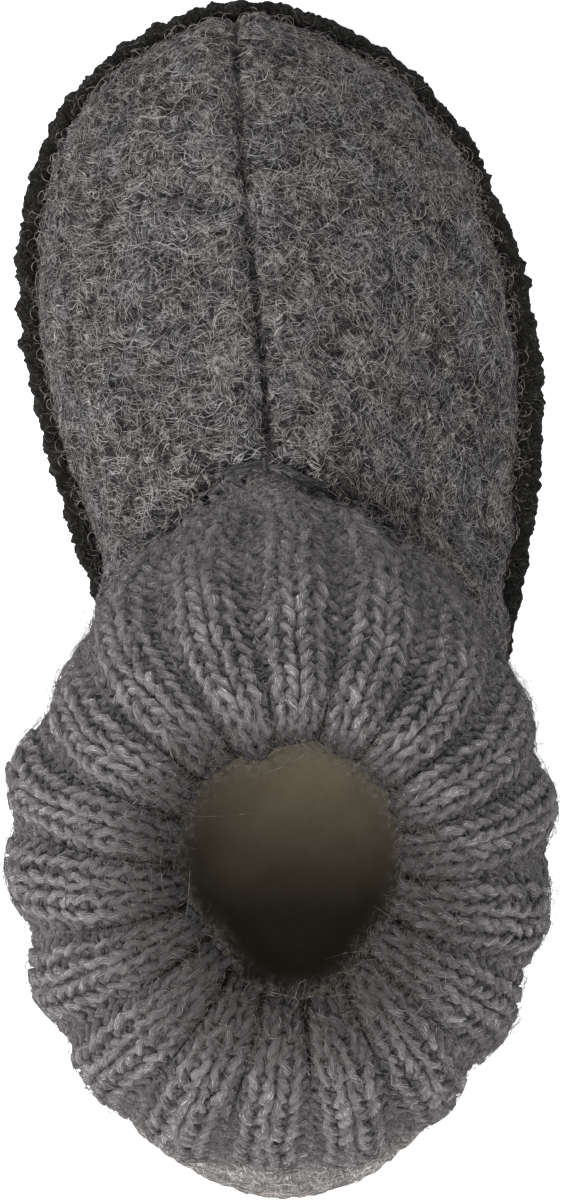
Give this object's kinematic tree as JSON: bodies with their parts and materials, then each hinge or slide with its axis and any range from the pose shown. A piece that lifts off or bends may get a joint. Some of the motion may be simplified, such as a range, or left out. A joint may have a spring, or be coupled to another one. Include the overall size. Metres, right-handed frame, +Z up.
{
  "type": "felt house slipper with knitted ankle cuff",
  "caption": "Right-foot boiled-wool slipper with a centre seam over the toes, black crocheted edging round a thin rubber sole and a puffy rib-knit ankle cuff.",
  "frame": {"origin": "on the floor, midway between the tip of the toe and the back of the heel and midway across the edging", "axes": "+Y towards the toe, +X towards the outer side of the right foot, +Z up"},
  "size_m": [0.1124, 0.2526, 0.117],
  "materials": {
    "sole_rubber": "matt black rubber sheet",
    "footbed_felt": "khaki wool felt",
    "edging_wool": "black crocheted wool",
    "boiled_wool": "mottled dark grey boiled wool",
    "cuff_yarn": "chunky grey wool yarn, rib knit"
  },
  "bodies": {
    "root": {"outsole": "sole_rubber", "insole": "footbed_felt", "edge_binding": "edging_wool", "upper": "boiled_wool", "knit_cuff": "cuff_yarn"}
  },
  "joints": []
}
